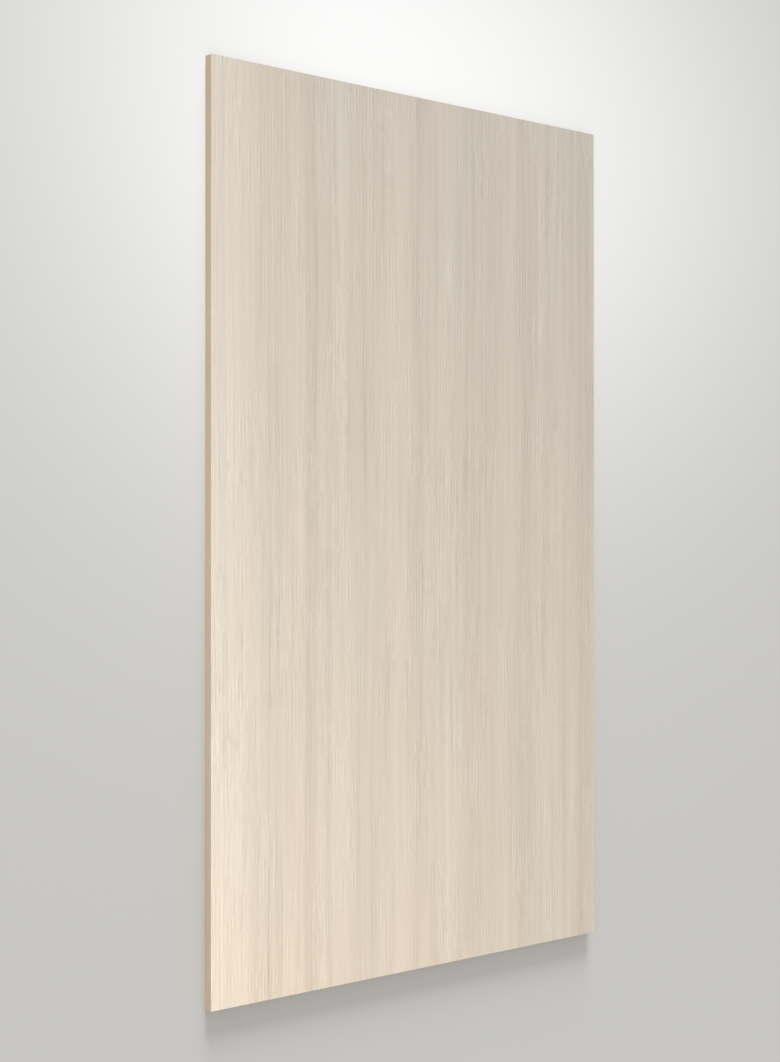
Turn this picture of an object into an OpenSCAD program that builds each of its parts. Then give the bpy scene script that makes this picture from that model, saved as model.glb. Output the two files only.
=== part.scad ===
// Decorative laminate sheet, full size.
// One flat sheet of stock with a printed woodgrain face, cut square on all four sides.
// It lies face up. X runs across the grain, Y runs along it and Z is up.
// The origin is under the middle of the sheet, on the plane of its back face.

/* [Sheet] */
// Width, across the grain
sheet_width = 1220; // [300:1:1860]
// Length, along the grain
sheet_length = 2135; // [600:1:3660]
// Thickness, from the back face to the decorative face
sheet_thickness = 25; // [4:0.5:40]

/* [Arrises] */
// Bevel round the decorative face, measured along either face that it joins
face_arris = 1.2; // [0.2:0.1:2]
// Bevel round the back face, measured the same way
back_arris = 0.6; // [0.2:0.1:1.5]
// Bevel on the four short upright corners, measured the same way
corner_arris = 1.0; // [0.2:0.1:10]

/* [Hidden] */
// Warm pale tan of the cut edge and face
sheet_colour = [0.85, 0.79, 0.71];

// Outline seen from above: a rectangle with its four corners bevelled
module sheet_outline() {
    x = sheet_width / 2;
    y = sheet_length / 2;
    c = corner_arris;
    polygon([
        [-x + c, -y], [x - c, -y],
        [x, -y + c], [x, y - c],
        [x - c, y], [-x + c, y],
        [-x, y - c], [-x, -y + c]
    ]);
}

// Cross section of a given span, standing on the back face, with the arrises of
// the back face below and those of the decorative face above
module sheet_section(span) {
    s = span / 2;
    t = sheet_thickness;
    polygon([
        [-s + back_arris, 0], [s - back_arris, 0],
        [s, back_arris], [s, t - face_arris],
        [s - face_arris, t], [-s + face_arris, t],
        [-s, t - face_arris], [-s, back_arris]
    ]);
}

// The sheet is what the outline, the section across the grain and the section
// along the grain have in common, so the bevels mitre cleanly at each corner
module laminate_sheet() {
    color(sheet_colour)
    intersection() {
        linear_extrude(sheet_thickness)
            sheet_outline();
        rotate([90, 0, 0])
            linear_extrude(sheet_length, center = true)
                sheet_section(sheet_width);
        rotate([90, 0, 90])
            linear_extrude(sheet_width, center = true)
                sheet_section(sheet_length);
    }
}

laminate_sheet();
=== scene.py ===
# %% [markdown]
# # A decorative laminate sheet
# The real thing is one flat piece of stock. A pale woodgrain is printed on paper, the paper is
# pressed under clear resin onto a panel, and the panel is trimmed square and its sharp corners
# are eased. Nothing is joined on and nothing moves, so the looks rest on four things: a crisp
# slab with fine arrises, a straight and very quiet grain on the face, a plain tan cut edge, and
# a sanded back. The sheet lies face up on the floor, as it would in a store.

# %% Load the frame
import math

import bmesh
import bpy
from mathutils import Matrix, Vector


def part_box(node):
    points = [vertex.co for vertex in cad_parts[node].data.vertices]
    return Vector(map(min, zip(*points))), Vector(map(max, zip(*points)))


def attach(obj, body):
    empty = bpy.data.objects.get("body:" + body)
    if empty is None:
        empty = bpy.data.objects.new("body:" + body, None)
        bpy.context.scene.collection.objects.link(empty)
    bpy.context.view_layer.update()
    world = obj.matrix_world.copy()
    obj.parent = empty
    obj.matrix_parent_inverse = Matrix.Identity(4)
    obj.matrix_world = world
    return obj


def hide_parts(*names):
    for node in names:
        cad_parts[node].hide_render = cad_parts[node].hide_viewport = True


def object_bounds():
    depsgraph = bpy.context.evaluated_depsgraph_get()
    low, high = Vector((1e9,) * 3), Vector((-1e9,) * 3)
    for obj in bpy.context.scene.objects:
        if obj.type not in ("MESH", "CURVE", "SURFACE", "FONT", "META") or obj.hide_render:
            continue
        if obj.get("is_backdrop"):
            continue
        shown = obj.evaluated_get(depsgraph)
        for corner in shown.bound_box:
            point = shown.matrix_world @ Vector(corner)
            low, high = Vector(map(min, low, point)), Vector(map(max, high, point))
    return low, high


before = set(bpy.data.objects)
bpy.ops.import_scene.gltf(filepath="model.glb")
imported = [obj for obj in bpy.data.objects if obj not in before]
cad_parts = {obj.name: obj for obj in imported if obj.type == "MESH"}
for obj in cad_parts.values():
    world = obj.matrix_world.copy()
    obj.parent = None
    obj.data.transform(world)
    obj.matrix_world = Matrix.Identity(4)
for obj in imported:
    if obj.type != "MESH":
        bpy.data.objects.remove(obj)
cad_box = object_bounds()
low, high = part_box("laminate_sheet")
width, length, thickness = high - low
print(f"frame: {width:.3f} m wide, {length:.3f} m long, {thickness:.3f} m thick")

# %% [markdown]
# ## The slab
# A cube stretched to size would do for the silhouette, but a trimmed panel never has a perfectly
# sharp corner. Its arris is about a millimetre wide, and it is what catches the light as a thin
# line beside the face. The frame already has its arrises, as flat bevels. So their widths are
# measured on it, and the slab gets the same arrises, only rounded: the two can't disagree.

# %% Measure the arrises on the frame
TOUCHING = 1e-5  # metres
corners = [v.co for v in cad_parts["laminate_sheet"].data.vertices]


def inset_of(points):
    """How far a set of points stays inside the plane of the sheet's long edge."""
    return high.x - max(abs(p.x) for p in points)


face_arris = inset_of([p for p in corners if p.z > high.z - TOUCHING])
back_arris = inset_of([p for p in corners if p.z < low.z + TOUCHING])
corner_arris = inset_of([p for p in corners if p.y > high.y - TOUCHING])
for name, arris in (("face", face_arris), ("back", back_arris), ("corner", corner_arris)):
    print(f"{name} arris: {arris * 1000:.1f} mm")

# %% [markdown]
# bmesh builds the slab step by step: a cube of the right size, then the four short upright
# corners, then the edges round the face and round the back. Doing the upright corners first
# lets the later bevels run round them in one clean line. At the end the big flats are cut into
# cells, because long thin faces shade unevenly and are awkward to work on later. The bevels
# leave the faces in an order that changes from run to run, so they are sorted by their corners.

# %% Cut the slab and ease its corners
ARRIS_STEPS = 4
CELLS_ACROSS, CELLS_ALONG = 4, 8


def edges_where(test):
    """The slab's edges whose two ends both pass a test on their position."""
    return [e for e in slab.edges if all(test(v.co) for v in e.verts)]


def ease(edges, offset, steps):
    """Eases some edges with an arris that is offset wide on both sides."""
    bmesh.ops.bevel(
        slab, geom=edges, offset=offset, offset_type="OFFSET", segments=steps,
        profile=0.5, affect="EDGES", clamp_overlap=True,
    )


def cut_across(axis, cells, size):
    """Cuts the slab into equal cells along one axis."""
    normal = Vector([float(i == axis) for i in range(3)])
    for cell in range(1, cells):
        point = normal * (cell / cells - 0.5) * size
        geometry = slab.verts[:] + slab.edges[:] + slab.faces[:]
        bmesh.ops.bisect_plane(slab, geom=geometry, plane_co=point, plane_no=normal)


def corner_numbers(face):
    """The numbers of a face's corners, from low to high."""
    return sorted(corner.index for corner in face.verts)


slab = bmesh.new()
bmesh.ops.create_cube(slab, size=1.0)
bmesh.ops.scale(slab, vec=(width, length, thickness), verts=slab.verts)
bmesh.ops.translate(slab, vec=(0, 0, (low.z + high.z) / 2), verts=slab.verts)
upright = [e for e in slab.edges if abs(e.verts[0].co.z - e.verts[1].co.z) > thickness / 2]
ease(upright, corner_arris, 1)
ease(edges_where(lambda p: p.z > high.z - TOUCHING), face_arris, ARRIS_STEPS)
ease(edges_where(lambda p: p.z < low.z + TOUCHING), back_arris, ARRIS_STEPS)
cut_across(0, CELLS_ACROSS, width)
cut_across(1, CELLS_ALONG, length)
bmesh.ops.recalc_face_normals(slab, faces=slab.faces)
slab.verts.index_update()
in_order = sorted(slab.faces, key=corner_numbers)
rank = {face: place for place, face in enumerate(in_order)}
slab.faces.sort(key=rank.get)
print(f"slab: {len(slab.faces)} faces, {len(slab.verts)} vertices")

# %% [markdown]
# ## Which finish goes where
# The print wraps over the arris of the face, the cut edge runs from there down to the back, and
# the back is one flat. So the surface falls into six regions. Each gets a rectangle of the UV
# map: the face the largest, because its fine lines need the most room, and the four thin edges
# lie as strips along the bottom. The finishes themselves don't need the map, because they are
# drawn from the place on the sheet, but anyone who bakes them to an image does.

# %% Sort the faces into regions
MAP_PLACES = {
    # left, bottom, right and top of each region's rectangle
    "face": (0.002, 0.292, 0.998, 0.998),
    "back": (0.002, 0.086, 0.998, 0.284),
    "left": (0.002, 0.060, 0.998, 0.078),
    "right": (0.002, 0.034, 0.998, 0.052),
    "near": (0.002, 0.008, 0.496, 0.026),
    "far": (0.504, 0.008, 0.998, 0.026),
}
PRINT, CUT_EDGE, SANDED_BACK = 0, 1, 2
FINISH_OF = {"face": PRINT, "back": SANDED_BACK}


def region_of(face):
    """The region that a face of the slab belongs to."""
    middle = face.calc_center_median()
    if middle.z > high.z - face_arris:
        return "face"
    if middle.z < low.z + TOUCHING:
        return "back"
    if abs(face.normal.x) >= abs(face.normal.y) - TOUCHING:
        return "left" if middle.x < 0 else "right"
    return "near" if middle.y < 0 else "far"


regions = [region_of(face) for face in slab.faces]
print("faces in each region:", {name: regions.count(name) for name in MAP_PLACES})

# %% [markdown]
# An arris turns through a quarter of a circle, so looked at straight from above or from the side
# it gets thinner and thinner, and a map made that way squeezes its last step to a line. Here
# it is unrolled instead: where the surface drops away at an arris, the drop is added to the
# distance across, just as if the paper were peeled off and laid flat.

# %% Unroll the surface
def peeled(value, outer, drop):
    """A distance from the middle of the face, carried on over its arris."""
    on_arris = abs(value) > outer - face_arris - TOUCHING
    return value + math.copysign(drop, value) if on_arris else value


def flat_place(region, p):
    """Where a point lies on its region, from 0 to 1 both ways."""
    if region == "face":
        drop = high.z - p.z
        across, along = peeled(p.x, high.x, drop), peeled(p.y, high.y, drop)
        return across / (width + 2 * face_arris) + 0.5, along / (length + 2 * face_arris) + 0.5
    if region == "back":
        return p.x / width + 0.5, p.y / length + 0.5
    inset_x, inset_y = high.x - abs(p.x), high.y - abs(p.y)
    under = p.z < low.z + back_arris + TOUCHING
    height = thickness - face_arris + back_arris
    if region in ("left", "right"):
        run = (p.y + math.copysign(inset_x, p.y)) / (length + 2 * corner_arris)
        rise = p.z - (inset_x if under else 0)
    else:
        run = p.x / width
        rise = p.z - (inset_y if under else 0)
    return run + 0.5, (rise + back_arris) / height


uv_layer = slab.loops.layers.uv.new("OFBake")
for face, region in zip(slab.faces, regions):
    face.material_index = FINISH_OF.get(region, CUT_EDGE)
    face.smooth = True
    u0, v0, u1, v1 = MAP_PLACES[region]
    for loop in face.loops:
        u, v = (min(max(share, 0), 1) for share in flat_place(region, loop.vert.co))
        loop[uv_layer].uv = (u0 + u * (u1 - u0), v0 + v * (v1 - v0))
print("map:", len(MAP_PLACES), "regions on", uv_layer.name)

# %% [markdown]
# The slab becomes an object. Smooth shading alone would bend the light over the whole face,
# because each corner's normal is an average of a huge flat and a tiny arris. Weighting that
# average by area leaves the flats dead flat and all of the turn in the arris.

# %% Make the sheet
def in_scene(name, data):
    """A new object in the scene, which shows a mesh, a lamp or a camera."""
    made = bpy.data.objects.new(name, data)
    bpy.context.scene.collection.objects.link(made)
    return made


sheet_mesh = bpy.data.meshes.new("decor_sheet")
slab.to_mesh(sheet_mesh)
slab.free()
sheet = in_scene("decor_sheet", sheet_mesh)
flats = sheet.modifiers.new("crisp_flats", "WEIGHTED_NORMAL")
flats.mode, flats.keep_sharp = "FACE_AREA", False
flats.weight = 100  # the most: the largest face at a corner decides
print("sheet:", sheet.name, "measures", [round(side, 4) for side in sheet.dimensions])

# %% [markdown]
# ## Drawing with nodes
# Every finish is a net of small nodes. Writing out each node and link is long and hides the
# idea, so these helpers add one node each and hand back its output, and a finish then reads
# like a sum. A value can be a plain number or the output of another node.

# %% Helpers that add a node
def new_finish(name):
    """A material with a bare Principled shader, and the place on the object to draw from."""
    material = bpy.data.materials.new(name)
    material.use_nodes = True
    tree = material.node_tree
    tree.nodes.clear()
    shader = tree.nodes.new("ShaderNodeBsdfPrincipled")
    output = tree.nodes.new("ShaderNodeOutputMaterial")
    tree.links.new(shader.outputs["BSDF"], output.inputs["Surface"])
    place = tree.nodes.new("ShaderNodeTexCoord").outputs["Object"]
    return material, tree, shader, place


def feed(tree, socket, value):
    """Links a socket to another node's output, or just sets its number."""
    if isinstance(value, bpy.types.NodeSocket):
        tree.links.new(value, socket)
    else:
        socket.default_value = value


def maths(tree, operation, *values, clamp=False):
    """One Math node."""
    made = tree.nodes.new("ShaderNodeMath")
    made.operation, made.use_clamp = operation, clamp
    for socket, value in zip(made.inputs, values):
        feed(tree, socket, value)
    return made.outputs[0]


def plus(tree, base, pattern, weight, clamp=False):
    """A pattern laid over a base, at some weight."""
    return maths(tree, "MULTIPLY_ADD", pattern, weight, base, clamp=clamp)


def parts_of(tree, place):
    """The X, Y and Z of a place."""
    made = tree.nodes.new("ShaderNodeSeparateXYZ")
    tree.links.new(place, made.inputs[0])
    return made.outputs


def place_at(tree, x, y):
    """A place made from an X and a Y."""
    made = tree.nodes.new("ShaderNodeCombineXYZ")
    feed(tree, made.inputs["X"], x)
    feed(tree, made.inputs["Y"], y)
    return made.outputs[0]


def scaled(tree, place, scale, shift):
    """A place that is stretched and then shifted."""
    made = tree.nodes.new("ShaderNodeMapping")
    made.inputs["Location"].default_value = shift
    made.inputs["Scale"].default_value = scale
    tree.links.new(place, made.inputs["Vector"])
    return made.outputs[0]


def ramp(tree, value, start, end):
    """A smooth step from 0 at the start to 1 at the end."""
    made = tree.nodes.new("ShaderNodeMapRange")
    made.interpolation_type = "SMOOTHSTEP"
    feed(tree, made.inputs["Value"], value)
    made.inputs["From Min"].default_value = start
    made.inputs["From Max"].default_value = end
    return made.outputs["Result"]


print("helpers for nodes: ready")

# %% [markdown]
# Wood grain is, first of all, noise that has been stretched a long way in one direction. This
# helper makes exactly that. It counts in features a metre, across the sheet and along it, so
# that a size seen on a real sheet can be typed in as it is. Three more helpers write a colour
# down, blend two of them, and turn a pattern into relief.

# %% Helpers for grain, colour and relief
NOISE_GAIN, NOISE_OFFSET = 4.0, -2.0  # for a node that gives about 0.25 to 0.75
FULL_RELIEF = 0.0002  # metres


def grain_noise(tree, place, across, along, shift, detail=1.0, roughness=0.5):
    """Noise from about -1 to 1, with so many features a metre across and along the sheet."""
    made = tree.nodes.new("ShaderNodeTexNoise")
    made.noise_dimensions = "2D"
    made.inputs["Scale"].default_value = 1.0
    made.inputs["Detail"].default_value = detail
    made.inputs["Roughness"].default_value = roughness
    counted = scaled(tree, place, (across, along, 0), (shift, -shift, 0))
    tree.links.new(counted, made.inputs["Vector"])
    return maths(tree, "MULTIPLY_ADD", made.outputs[0], NOISE_GAIN, NOISE_OFFSET)


def from_screen(red, green, blue):
    """A colour as it looks on a screen, 0 to 255, as the linear numbers that nodes use."""
    def linear(level):
        share = level / 255
        return share / 12.92 if share <= 0.04045 else ((share + 0.055) / 1.055) ** 2.4
    return (linear(red), linear(green), linear(blue), 1.0)


def blend(tree, share, first, second):
    """A colour between two others."""
    made = tree.nodes.new("ShaderNodeMix")
    made.data_type = "RGBA"
    feed(tree, made.inputs["Factor"], share)
    feed(tree, made.inputs["A"], first)
    feed(tree, made.inputs["B"], second)
    return made.outputs["Result"]


def press_in(tree, shader, relief, strength):
    """Gives a shader a shallow relief, FULL_RELIEF deep at a strength of 1."""
    bump = tree.nodes.new("ShaderNodeBump")
    bump.inputs["Strength"].default_value = strength
    bump.inputs["Distance"].default_value = FULL_RELIEF
    tree.links.new(relief, bump.inputs["Height"])
    tree.links.new(bump.outputs[0], shader.inputs["Normal"])


print("helpers for grain, colour and relief: ready")

# %% [markdown]
# ## The woodgrain print
# The design is a pale ash, cut so that its rings show as straight lines. Wood is a bundle of
# straight fibres, so a strip of it keeps one tone right across its width and then steps to the
# next one. Plain stretched noise has no such steps and looks like brushed fur. The cure is to
# climb a staircase across the sheet instead of a slope, before the noise is looked up: each
# tread is a strip of even tone, and each riser is a soft edge between two strips.

# %% A noise that comes in strips
STRIP_STEP = 1.31  # more than one feature of noise apart, so that neighbours differ


def strips(tree, place, per_metre, along, softness, shift):
    """Noise in straight strips, so many a metre, that changes only slowly along them."""
    spot = parts_of(tree, place)
    count = maths(tree, "MULTIPLY", spot["X"], per_metre)
    tread = maths(tree, "FLOOR", count)
    riser = ramp(tree, maths(tree, "FRACT", count), 1 - softness, 1.0)
    stairs = place_at(tree, maths(tree, "ADD", tread, riser), spot["Y"])
    return grain_noise(tree, stairs, STRIP_STEP, along, shift, detail=0.0)


print("strips: treads", STRIP_STEP, "features of noise apart")

# %% [markdown]
# Even a straight-grown tree isn't ruled with a pen. Before anything is drawn, the whole print
# is swayed sideways by a few millimetres over a long way, and everything that is drawn later
# follows these swayed fibres together, as it does in one piece of wood.

# %% Sway the fibres
SWAY = 0.004  # metres

woodgrain, tree, shader, place = new_finish("woodgrain_print")
wander = grain_noise(tree, place, across=5.0, along=0.8, shift=7.3)
sway = tree.nodes.new("ShaderNodeVectorMath")
sway.operation = "ADD"
tree.links.new(place, sway.inputs[0])
tree.links.new(place_at(tree, maths(tree, "MULTIPLY", wander, SWAY), 0.0), sway.inputs[1])
fibre = sway.outputs[0]
print(f"fibres sway by about {SWAY * 1000:.0f} mm")

# %% [markdown]
# From across a room a sheet is known by its few broad ribbons, which run from end to end. Noise
# could scatter them, but then the one design that is wanted would be a matter of luck. So each
# ribbon is listed: where its middle is, how wide it is, and how much lighter or darker than
# its surroundings. Its two sides fade out, as there is no hard line between growth rings.
# The first and lightest ribbon, broad along the left edge, is a painted highlight drawn as a
# ribbon: a lighter band that stands in for light falling along that edge.

# %% Lay the broad ribbons
RIBBONS_AND_PAINTED_HIGHLIGHT = (
    # middle from the left edge in metres, width in metres, lighter (+) or darker (-)
    # the first row is a painted highlight: a lighter band along the left edge, where light falls
    (0.03, 0.20, 0.14), (0.17, 0.07, -0.04), (0.28, 0.06, -0.07), (0.37, 0.05, 0.04),
    (0.45, 0.09, -0.09), (0.54, 0.06, 0.08), (0.60, 0.05, -0.05), (0.70, 0.10, 0.035),
    (0.77, 0.05, -0.07), (0.84, 0.04, -0.06), (0.89, 0.05, 0.05), (0.96, 0.06, -0.04),
    (1.05, 0.14, 0.055), (1.18, 0.08, -0.08),
)
EVEN_TONE = 0.5
FADE_FROM, FADE_TO = 0.5, 0.15  # shares of a ribbon's width, from its middle

from_left = maths(tree, "ADD", parts_of(tree, fibre)["X"], width / 2)
lightness = EVEN_TONE
for middle, ribbon_width, tone in RIBBONS_AND_PAINTED_HIGHLIGHT:
    away = maths(tree, "ABSOLUTE", maths(tree, "SUBTRACT", from_left, middle))
    ribbon = ramp(tree, away, ribbon_width * FADE_FROM, ribbon_width * FADE_TO)
    lightness = plus(tree, lightness, ribbon, tone)
print("ribbons:", len(RIBBONS_AND_PAINTED_HIGHLIGHT))

# %% [markdown]
# Between the ribbons lie narrow strips of every width. Here scattering is right, since nobody
# could list them all. Several layers of strips are added up, from about 40 mm wide down to 9 mm.
# Some layers hold their tone over the whole sheet, and others change it every half metre to a
# metre: with only one of the two kinds, the print looks either ruled or blotchy.

# %% Scatter the narrow strips
STRIP_LAYERS = (
    # strips a metre, changes a metre along them, softness of their edges, weight, shift
    (23.0, 0.15, 0.40, 0.036, 12.1),
    (27.0, 1.00, 0.60, 0.026, 17.9),
    (49.0, 0.25, 0.50, 0.043, 23.9),
    (57.0, 2.20, 0.60, 0.038, 27.1),
    (108.0, 1.20, 0.60, 0.008, 31.3),
)
for per_metre, along, softness, weight, shift in STRIP_LAYERS:
    layer = strips(tree, fibre, per_metre, along, softness, shift)
    lightness = plus(tree, lightness, layer, weight)
    print(f"strips {1000 / per_metre:.0f} mm wide: weight {weight}")

# %% [markdown]
# An even texture is what gives a machine-made pattern away. In real wood the fine marks are
# strong in some places and nearly gone in others. So, before any mark is drawn, two noises
# choose the places: patches about as large as a hand, and long zones that hold more or fewer
# of them.

# %% Choose the busy and the quiet places
PATCHES_ACROSS, PATCHES_ALONG = 16.0, 4.5  # a metre
ZONE_WEIGHT = 0.8
ALL_QUIET, ALL_BUSY = -0.5, 0.9  # levels of the two noises together

patches = grain_noise(tree, fibre, PATCHES_ACROSS, PATCHES_ALONG, shift=57.3)
zones = grain_noise(tree, fibre, across=5.0, along=0.9, shift=88.1)
busy = ramp(tree, plus(tree, patches, zones, ZONE_WEIGHT), ALL_QUIET, ALL_BUSY)
print(f"patches: about {1000 / PATCHES_ACROSS:.0f} mm by {1000 / PATCHES_ALONG:.0f} mm")

# %% [markdown]
# Now come the marks that make the print look like wood. Dark streaks are the crests of a narrow
# noise, and all that is below the crests is left out. Slivers are strips 9 mm wide that change
# their tone every hand's breadth. Pore lines are 4 mm wide and a few centimetres long, dark and
# light by turns. The slivers and the pore lines are strong only in the busy places: each has a
# small weight that it keeps everywhere, and a larger one that a busy place adds.

# %% Draw the streaks, the slivers and the pore lines
STREAK_WEIGHT = -0.09
CREST_FOOT, CREST_TOP = 0.45, 0.90
SLIVERS, PORE_LINES = 116.0, 230.0  # a metre
SLIVER_WEIGHT, BUSY_SLIVERS_ADD = 0.014, 0.055
LINE_WEIGHT, BUSY_LINES_ADD = 0.004, 0.105
LINE_EDGE = 0.16  # how far from the middle tone a line is all dark or all light

crests = grain_noise(tree, fibre, across=70.0, along=1.8, shift=53.9)
streaks = ramp(tree, crests, CREST_FOOT, CREST_TOP)
lightness = plus(tree, lightness, streaks, STREAK_WEIGHT)

slivers = strips(tree, fibre, per_metre=SLIVERS, along=8.0, softness=0.6, shift=37.7)
weight = plus(tree, SLIVER_WEIGHT, busy, BUSY_SLIVERS_ADD)
lightness = plus(tree, lightness, slivers, weight)

dashes = strips(tree, fibre, per_metre=PORE_LINES, along=22.0, softness=0.6, shift=43.1)
pore_lines = maths(tree, "SUBTRACT", ramp(tree, dashes, -LINE_EDGE, LINE_EDGE), 0.5)
weight = plus(tree, LINE_WEIGHT, busy, BUSY_LINES_ADD)
lightness = plus(tree, lightness, pore_lines, weight)
print("pore lines: weight", LINE_WEIGHT, "to", round(LINE_WEIGHT + BUSY_LINES_ADD, 3))

# %% [markdown]
# Here and there a handful of pores lie side by side at one even spacing, like the teeth of a
# comb. A sine wave across the sheet has just that spacing. It is let through only where a soft
# noise says that a bundle lies, and a strip noise at the same spacing gives each tooth ends of
# its own.

# %% Draw the pore combs
COMB_TEETH = 104.0  # a metre
COMB_WEIGHT = 0.16
BUNDLE_FROM, BUNDLE_TO = 0.12, 0.36  # levels of the soft noise
STROKE_FROM, STROKE_TO = -0.12, 0.06  # levels of the strip noise

turns = maths(tree, "MULTIPLY", parts_of(tree, fibre)["X"], COMB_TEETH * 2 * math.pi)
wave = maths(tree, "SINE", turns)
bundles = grain_noise(tree, fibre, across=14.0, along=5.0, shift=61.7)
bundles = ramp(tree, bundles, BUNDLE_FROM, BUNDLE_TO)
strokes = strips(tree, fibre, per_metre=COMB_TEETH, along=12.0, softness=0.3, shift=67.1)
strokes = ramp(tree, strokes, STROKE_FROM, STROKE_TO)
teeth = maths(tree, "MULTIPLY", wave, maths(tree, "MULTIPLY", bundles, strokes))
lightness = plus(tree, lightness, teeth, COMB_WEIGHT)
print(f"comb teeth: {1000 / COMB_TEETH:.1f} mm apart")

# %% [markdown]
# The last two layers are for a close look. Fine hairs break up every even patch, and short dark
# ticks, less than a millimetre wide, stand for the single pores of the wood. From across a
# room both melt into the tone around them.

# %% Draw the hairs and the pore ticks
HAIR_WEIGHT, TICK_WEIGHT = 0.028, -0.05
TICKS = 1300.0  # a metre
TICK_FROM, TICK_TO = 0.30, 0.55  # levels of the strip noise

hairs = grain_noise(tree, fibre, across=480.0, along=50.0, shift=73.7)
lightness = plus(tree, lightness, hairs, HAIR_WEIGHT)
ticks = strips(tree, fibre, per_metre=TICKS, along=55.0, softness=0.5, shift=83.3)
ticks = ramp(tree, ticks, TICK_FROM, TICK_TO)
lightness = plus(tree, lightness, ticks, TICK_WEIGHT, clamp=True)
print(f"pore ticks: {1000 / TICKS:.2f} mm wide")

# %% [markdown]
# So far the print is one number from 0 to 1, how light it is. It becomes colour as a printer
# would do it, with a dark ink and a light one, both a warm greyed cream. The two inks drift in
# hue from ribbon to ribbon, a little to rose and a little to green, since real wood is never
# one hue all over.

# %% Ink the print
GREENER_DARK, ROSIER_DARK = from_screen(188, 180, 167), from_screen(189, 179, 166)
GREENER_LIGHT, ROSIER_LIGHT = from_screen(235.5, 229, 216), from_screen(236.5, 228, 215)
ALL_GREENER, ALL_ROSIER = -0.6, 0.6  # levels of the drift

drift = grain_noise(tree, fibre, across=6.0, along=0.7, shift=79.9, detail=2.0, roughness=0.6)
hue = ramp(tree, drift, ALL_GREENER, ALL_ROSIER)
dark_ink = blend(tree, hue, GREENER_DARK, ROSIER_DARK)
light_ink = blend(tree, hue, GREENER_LIGHT, ROSIER_LIGHT)
tree.links.new(blend(tree, lightness, dark_ink, light_ink), shader.inputs["Base Color"])
print("woodgrain print:", len(tree.nodes), "nodes")

# %% [markdown]
# The press plate leaves the same pores as shallow grooves in a satin resin. So the relief is
# made from the patterns of the print and always lines up with it, as it does on a sheet that is
# pressed in register. The resin is a little duller down in the pores.

# %% Press the surface
SATIN = 0.55
PORE_DULLING = -0.05
PRESS_STRENGTH = 0.25
HAIR_RELIEF = 0.5  # beside 1 for the pores

relief = plus(tree, maths(tree, "ADD", pore_lines, teeth), hairs, HAIR_RELIEF)
relief = maths(tree, "SUBTRACT", relief, ticks)
press_in(tree, shader, relief, PRESS_STRENGTH)
tree.links.new(plus(tree, SATIN, relief, PORE_DULLING), shader.inputs["Roughness"])
print("pressed surface: roughness about", SATIN)

# %% [markdown]
# ## The cut edge
# The edge is plain tan, with the fine speckle of pressed fibres and the faint upright marks of
# the saw. It runs round all four sides, so it is drawn from X + Y: on any one side only one of
# the two changes, and their sum is the distance along that side. Up the edge it goes by Z.

# %% Draw the cut edge
EDGE_DARK, EDGE_LIGHT = from_screen(178, 162, 144), from_screen(194, 179, 160)
EDGE_ROUGHNESS, FIBRE_DULLING = 0.68, 0.04
SAW_WEIGHT, FIBRE_WEIGHT, CLOUD_WEIGHT = 0.10, 0.34, 0.10
FIBRE_RELIEF = 0.5  # beside 1 for the saw marks

cut_edge, tree, shader, place = new_finish("plain_cut_edge")
spot = parts_of(tree, place)
on_edge = place_at(tree, maths(tree, "ADD", spot["X"], spot["Y"]), spot["Z"])
saw_marks = grain_noise(tree, on_edge, across=190.0, along=9.0, shift=3.1)
fibres = grain_noise(
    tree, on_edge, across=420.0, along=1100.0, shift=9.7, detail=2.0, roughness=0.7,
)
clouds = grain_noise(tree, on_edge, across=7.0, along=20.0, shift=5.3)
shade = plus(tree, EVEN_TONE, saw_marks, SAW_WEIGHT)
shade = plus(tree, shade, fibres, FIBRE_WEIGHT)
shade = plus(tree, shade, clouds, CLOUD_WEIGHT, clamp=True)
tree.links.new(blend(tree, shade, EDGE_DARK, EDGE_LIGHT), shader.inputs["Base Color"])
press_in(tree, shader, plus(tree, saw_marks, fibres, FIBRE_RELIEF), strength=0.3)
tree.links.new(plus(tree, EDGE_ROUGHNESS, fibres, FIBRE_DULLING), shader.inputs["Roughness"])
print("cut edge:", len(tree.nodes), "nodes")

# %% [markdown]
# ## The back
# The back is made to be glued or to lie against a wall. It is a flat tan paper, sanded along the
# sheet, and the sanding leaves long fine scratches, broad passes that differ a little, and
# soft clouds where the paper took more or less.

# %% Draw the sanded back
BACK_DARK, BACK_LIGHT = from_screen(170, 149, 124), from_screen(194, 174, 149)
BACK_ROUGHNESS, SCRATCH_DULLING = 0.78, 0.04
SCRATCH_WEIGHT, PASS_WEIGHT, BACK_CLOUD_WEIGHT = 0.14, 0.10, 0.12

sanded_back, tree, shader, place = new_finish("sanded_backing_paper")
scratches = grain_noise(
    tree, place, across=420.0, along=3.0, shift=2.3, detail=2.0, roughness=0.6,
)
passes = grain_noise(tree, place, across=9.0, along=0.4, shift=8.9)
clouds = grain_noise(tree, place, across=4.0, along=3.0, shift=4.1, detail=2.0)
shade = plus(tree, EVEN_TONE, scratches, SCRATCH_WEIGHT)
shade = plus(tree, shade, passes, PASS_WEIGHT)
shade = plus(tree, shade, clouds, BACK_CLOUD_WEIGHT, clamp=True)
tree.links.new(blend(tree, shade, BACK_DARK, BACK_LIGHT), shader.inputs["Base Color"])
press_in(tree, shader, scratches, strength=0.3)
tree.links.new(plus(tree, BACK_ROUGHNESS, scratches, SCRATCH_DULLING), shader.inputs["Roughness"])
print("sanded back:", len(tree.nodes), "nodes")

# %% [markdown]
# The three finishes go on in the order of their numbers above. The sheet stands for the frame's
# plain one and goes where its body goes: there is one body, because nothing moves.

# %% Dress the sheet and tie it to the frame
for finish in (woodgrain, cut_edge, sanded_back):
    sheet_mesh.materials.append(finish)
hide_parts("laminate_sheet")
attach(sheet, "root")
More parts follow.
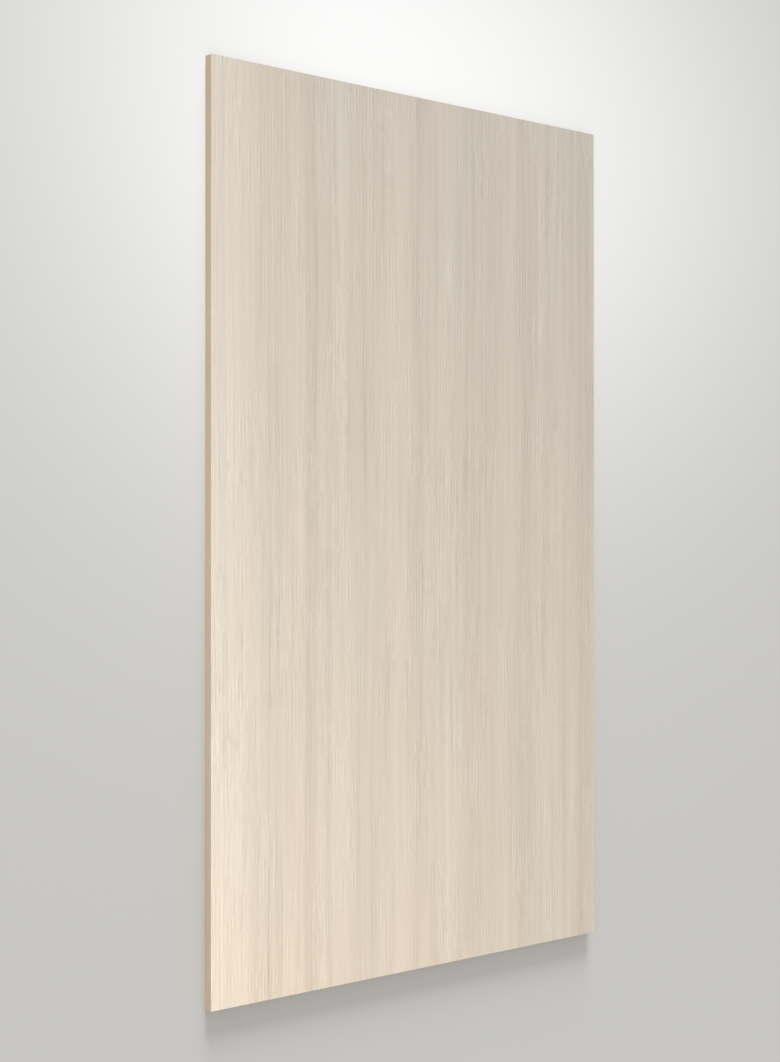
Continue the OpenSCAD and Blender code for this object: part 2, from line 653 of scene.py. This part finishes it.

# %% [markdown]
# ## The studio
# The floor is one large pale grey sheet of card, wide enough that its end never shows. On it a
# broad pool of painted light fades out round the far end of the sheet, slowly to the right, where
# the floor runs away from the camera, and faster to the left. A lamp that made such a pool would
# brighten the laminate too, so the pool is painted light: a faint glow of the card itself, which
# only the camera's rays see. The card still takes the sheet's shadow.

# %% Lay the floor
FLOOR_HALF = 60.0  # metres
FLOOR_GREY = (0.846, 0.836, 0.800, 1.0)
POOL_MIDDLE = Vector((-0.16, 1.05))
POOL_LEFT, POOL_RIGHT, POOL_ALONG = 0.66, 1.00, 0.68  # metres, to six tenths of its glow
PAINTED_POOL_GLOW = 0.43
POOL_COLOUR = (0.94, 0.96, 1.0, 1.0)

card = bmesh.new()
bmesh.ops.create_grid(card, x_segments=8, y_segments=8, size=FLOOR_HALF)
floor_mesh = bpy.data.meshes.new("studio_floor")
card.to_mesh(floor_mesh)
card.free()
floor = in_scene("studio_floor", floor_mesh)
floor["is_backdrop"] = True

floor_card, tree, shader, place = new_finish("pale_floor_card")
shader.inputs["Base Color"].default_value = FLOOR_GREY
shader.inputs["Roughness"].default_value = 1.0
shader.inputs["Specular IOR Level"].default_value = 0.0
spot = parts_of(tree, place)
# the pool is painted light: an emission of the card that only camera rays see, fading out from
# POOL_MIDDLE
off_x = maths(tree, "SUBTRACT", spot["X"], POOL_MIDDLE.x)
off_y = maths(tree, "SUBTRACT", spot["Y"], POOL_MIDDLE.y)
on_right = maths(tree, "GREATER_THAN", off_x, 0.0)
reach = plus(tree, POOL_LEFT, on_right, POOL_RIGHT - POOL_LEFT)
across = maths(tree, "DIVIDE", off_x, reach)
along = maths(tree, "DIVIDE", off_y, POOL_ALONG)
squared = maths(tree, "MULTIPLY_ADD", across, across, maths(tree, "MULTIPLY", along, along))
fade = maths(tree, "EXPONENT", maths(tree, "MULTIPLY", squared, -0.5))
camera_ray = tree.nodes.new("ShaderNodeLightPath").outputs["Is Camera Ray"]
glow = maths(tree, "MULTIPLY", maths(tree, "MULTIPLY", fade, PAINTED_POOL_GLOW), camera_ray)
shader.inputs["Emission Color"].default_value = POOL_COLOUR
tree.links.new(glow, shader.inputs["Emission Strength"])
floor_mesh.materials.append(floor_card)
print("floor:", FLOOR_HALF * 2, "m across")

# %% [markdown]
# ## Light
# Half of the light comes evenly from all round, and the lamps add the rest, so that a colour
# renders about as it was typed in. Blender can link a lamp to a few objects only, and that keeps
# two jobs apart. The sheet gets a soft box from its left side, a small warm one above its near
# left corner, a broad light from overhead, and a fill for its right and near edges. The floor
# gets one low light from beyond the far end, which draws the soft shadow at the near end. If
# the sheet saw that one too, its satin face would glare like a wet road from the near side.
# The soft box would do the same from the right. So it is two lamps in one place, and only the
# weaker one leaves a highlight.

# %% Hang the lamps
def only_for(name, receiver):
    """A collection of one object, for lamps that light nothing else."""
    made = bpy.data.collections.new(name)
    made.objects.link(receiver)
    return made


def hang(name, lamp, place, heading, receivers, highlight):
    """Puts a lamp in the scene, out of the camera's sight, and turns it to its heading."""
    made = in_scene(name, lamp)
    made.location = place
    made.rotation_euler = Vector(heading).to_track_quat("-Z", "Y").to_euler()
    made.light_linking.receiver_collection = receivers
    made.visible_camera = False
    made.visible_glossy = highlight
    print(f"{name}: {lamp.type.lower()} at {lamp.energy:g}")


def soft_box(name, place, aim, size, watts, colour, highlight):
    """A square lamp close by, which lights the sheet, with or without a highlight on it."""
    lamp = bpy.data.lights.new(name, "AREA")
    lamp.shape, lamp.size, lamp.energy, lamp.color = "SQUARE", size, watts, colour
    hang(name, lamp, place, Vector(aim) - Vector(place), for_sheet, highlight)


def far_light(name, heading, strength, degrees_wide, receivers):
    """A lamp so far away that its light is even all over. It leaves no highlight."""
    lamp = bpy.data.lights.new(name, "SUN")
    lamp.energy, lamp.angle = strength, math.radians(degrees_wide)
    hang(name, lamp, (0, 0, 0), heading, receivers, highlight=False)


for_sheet = only_for("lit_sheet", sheet)
for_floor = only_for("lit_floor", floor)
SIDE, SIDE_WHITE = (-3.8, 0.0, 2.0), (1.0, 0.95, 0.90)
NEAR_LEFT, WARM_WHITE = (-0.5, -1.45, 1.7), (1.0, 0.72, 0.50)
soft_box("side_box", SIDE, aim=(0, 0, 0), size=1.2, watts=64, colour=SIDE_WHITE, highlight=False)
soft_box("sheen_box", SIDE, aim=(0, 0, 0), size=1.2, watts=28, colour=SIDE_WHITE, highlight=True)
soft_box(
    "warm_box", NEAR_LEFT, aim=(-0.5, -1.45, 0), size=0.4, watts=9, colour=WARM_WHITE,
    highlight=True,
)
far_light("overhead_light", (0.0, -0.35, -1.0), 0.56, degrees_wide=40, receivers=for_sheet)
far_light("edge_fill", (-1.0, 1.0, 0.0), 1.1, degrees_wide=30, receivers=for_sheet)
far_light("low_light", (0.0, -1.0, -0.24), 2.4, degrees_wide=22, receivers=for_floor)

# %% [markdown]
# The light from all round is the world: an even white at half strength. Beyond the end of the
# floor the camera would see that same world, as a band of another grey. So rays from the camera,
# and those that a gloss or a clear surface sends on, meet a backdrop in the floor's own grey.

# %% Set the surround
SURROUND_STRENGTH = 0.50
BACKDROP_GREY = from_screen(200, 199, 195)

world = bpy.data.worlds.new("white_surround")
world.use_nodes = True
tree = world.node_tree
surround = tree.nodes["Background"]
surround.inputs["Color"].default_value = (1, 1, 1, 1)
surround.inputs["Strength"].default_value = SURROUND_STRENGTH
backdrop = tree.nodes.new("ShaderNodeBackground")
backdrop.inputs["Color"].default_value = BACKDROP_GREY

rays = tree.nodes.new("ShaderNodeLightPath").outputs
sent_on = maths(tree, "MAXIMUM", rays["Is Glossy Ray"], rays["Is Transmission Ray"])
chosen = tree.nodes.new("ShaderNodeMixShader")
tree.links.new(maths(tree, "MAXIMUM", rays["Is Camera Ray"], sent_on), chosen.inputs["Fac"])
tree.links.new(surround.outputs[0], chosen.inputs[1])
tree.links.new(backdrop.outputs[0], chosen.inputs[2])
tree.links.new(chosen.outputs[0], tree.nodes["World Output"].inputs["Surface"])
bpy.context.scene.world = world
bpy.context.scene.view_settings.view_transform = "Standard"
print("surround: white at", SURROUND_STRENGTH)

# %% [markdown]
# ## The camera
# The camera looks down on the sheet from beyond its left edge, with the length of the sheet
# upright in the picture. It is placed the way a photographer would think of it: what it aims
# at, how far away it is, and how far it leans over from straight above. It nods by a fifth
# of a degree, which sets the two ends of the sheet right against each other.

# %% Place the camera
AIM = Vector((-0.096, 0.004, high.z))
DISTANCE = 4.151  # metres
LEAN, NOD = math.radians(39.30), math.radians(0.20)
FOCAL_LENGTH, SENSOR_SIZE = 58.22, 36.0  # millimetres

lens = bpy.data.cameras.new("camera")
lens.lens, lens.sensor_width = FOCAL_LENGTH, SENSOR_SIZE
camera = in_scene("camera", lens)
camera.rotation_euler = (NOD, -LEAN, 0)
looking = camera.rotation_euler.to_matrix() @ Vector((0, 0, -1))
camera.location = AIM - looking * DISTANCE
bpy.context.scene.camera = camera
print("camera:", [round(c, 3) for c in camera.location])

# %% [markdown]
# ## The last check
# The sheet must fill the frame's box and no more.

# %% Compare the sizes and finish
look_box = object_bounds()
for name, (lowest, highest) in (("frame", cad_box), ("looks", look_box)):
    print(f"{name}:", [round(b - a, 4) for a, b in zip(lowest, highest)], "m")
